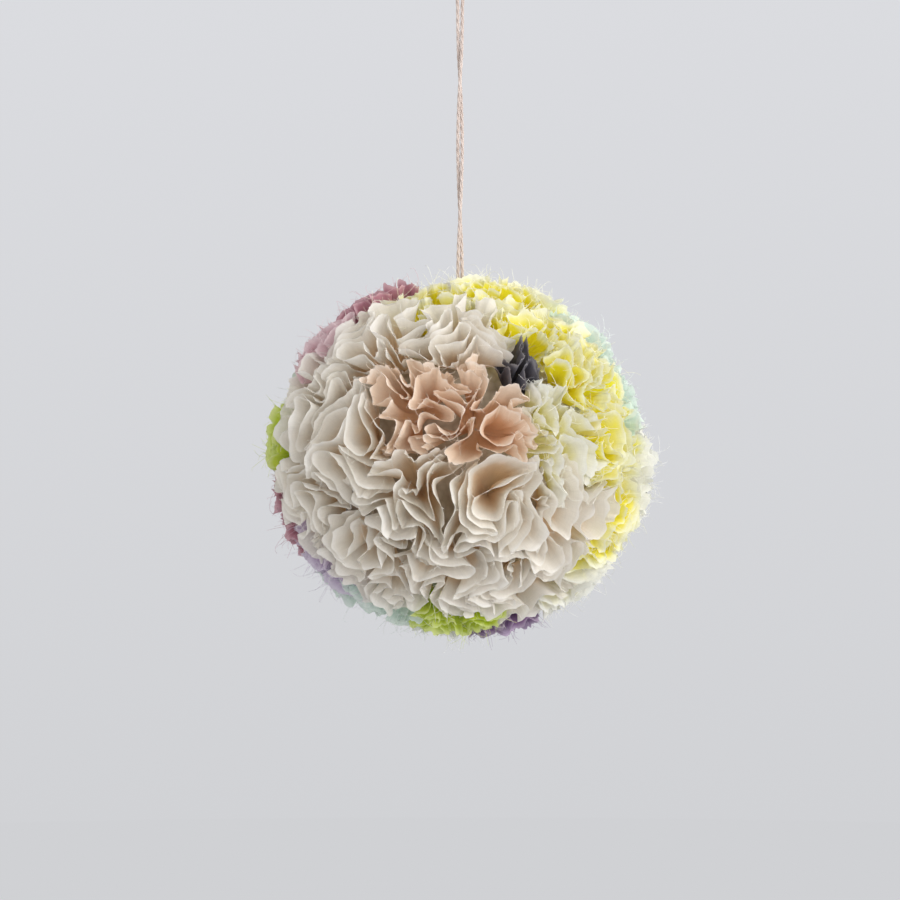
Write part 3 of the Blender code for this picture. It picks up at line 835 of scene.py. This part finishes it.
world = bpy.data.worlds.new("studio")
world.use_nodes = True
bpy.context.scene.world = world
tree = world.node_tree
light = tree.nodes["Background"]
light.inputs["Color"].default_value = (*ROOM_LIGHT, 1)
light.inputs["Strength"].default_value = ROOM_STRENGTH
way_out = joined(tree, "ShaderNodeTexCoord").outputs["Generated"]
up_part = joined(tree, "ShaderNodeSeparateXYZ", Vector=way_out).outputs["Z"]
climb = joined(tree, "ShaderNodeMapRange", Value=up_part)
climb.inputs["From Min"].default_value = -ROOM_BLEND
climb.inputs["From Max"].default_value = ROOM_BLEND
room = joined(tree, "ShaderNodeMix", {"data_type": "RGBA"}, Factor=climb.outputs["Result"])
room.inputs["A"].default_value = (*linear(*ROOM_BOTTOM), 1)
room.inputs["B"].default_value = (*linear(*ROOM_TOP), 1)
seen = joined(tree, "ShaderNodeBackground", Strength=1.0)
tree.links.new(room.outputs["Result"], seen.inputs["Color"])
ray = joined(tree, "ShaderNodeLightPath").outputs
looked_at = joined(tree, "ShaderNodeMath", {"operation": "MAXIMUM"})
tree.links.new(ray["Is Camera Ray"], looked_at.inputs[0])
through_glass = joined(tree, "ShaderNodeMath", {"operation": "MAXIMUM"})
tree.links.new(ray["Is Glossy Ray"], through_glass.inputs[0])
tree.links.new(ray["Is Transmission Ray"], through_glass.inputs[1])
tree.links.new(through_glass.outputs[0], looked_at.inputs[1])
choice = joined(tree, "ShaderNodeMixShader", Fac=looked_at.outputs[0])
tree.links.new(light.outputs[0], choice.inputs[1])
tree.links.new(seen.outputs[0], choice.inputs[2])
tree.links.new(choice.outputs[0], tree.nodes["World Output"].inputs["Surface"])

bpy.ops.mesh.primitive_circle_add(vertices=96, radius=FLOOR_RADIUS, fill_type="NGON",
                                  location=(0, 0, FLOOR_HEIGHT))
floor = bpy.context.object
floor.name = "studio_floor"
paint = bpy.data.materials.new("floor_paint")
paint.use_nodes = True
tree = paint.node_tree
shader = tree.nodes["Principled BSDF"]
shader.inputs["Roughness"].default_value = 0.9
grain = joined(tree, "ShaderNodeTexNoise", Scale=40.0)
tint = joined(tree, "ShaderNodeMix", {"data_type": "RGBA"}, Factor=grain.outputs["Fac"])
tint.inputs["A"].default_value = (*linear(*FLOOR_DARK), 1)
tint.inputs["B"].default_value = (*linear(*FLOOR_LIGHT), 1)
tree.links.new(tint.outputs["Result"], shader.inputs["Base Color"])
spot = joined(tree, "ShaderNodeTexCoord").outputs["Object"]
away = joined(tree, "ShaderNodeVectorMath", {"operation": "LENGTH"})
tree.links.new(spot, away.inputs[0])
fade = joined(tree, "ShaderNodeMapRange", {"interpolation_type": "SMOOTHSTEP"}, Value=away.outputs["Value"])
fade.inputs["From Min"].default_value = FLOOR_FADE[0]
fade.inputs["From Max"].default_value = FLOOR_FADE[1]
blank = joined(tree, "ShaderNodeEmission", Color=(*linear(*ROOM_BOTTOM), 1), Strength=1.0)
ray = joined(tree, "ShaderNodeLightPath").outputs
only_seen = joined(tree, "ShaderNodeMath", {"operation": "MULTIPLY"})
tree.links.new(ray["Is Camera Ray"], only_seen.inputs[0])
tree.links.new(fade.outputs["Result"], only_seen.inputs[1])
mix = joined(tree, "ShaderNodeMixShader", Fac=only_seen.outputs[0])
tree.links.new(shader.outputs[0], mix.inputs[1])
tree.links.new(blank.outputs[0], mix.inputs[2])
tree.links.new(mix.outputs[0], tree.nodes["Material Output"].inputs["Surface"])
floor.data.materials.append(paint)

for name, place, watts in LAMPS:
    lamp = bpy.data.lights.new(name, "AREA")
    lamp.size = LAMP_SIZE
    lamp.energy = watts
    holder = bpy.data.objects.new(name, lamp)
    holder.location = place
    aim = Vector((0, 0, -HANG_DROP)) - Vector(place)
    holder.rotation_euler = aim.to_track_quat("-Z", "Y").to_euler()
    bpy.context.scene.collection.objects.link(holder)

view = bpy.context.scene.view_settings
view.view_transform = "Standard"
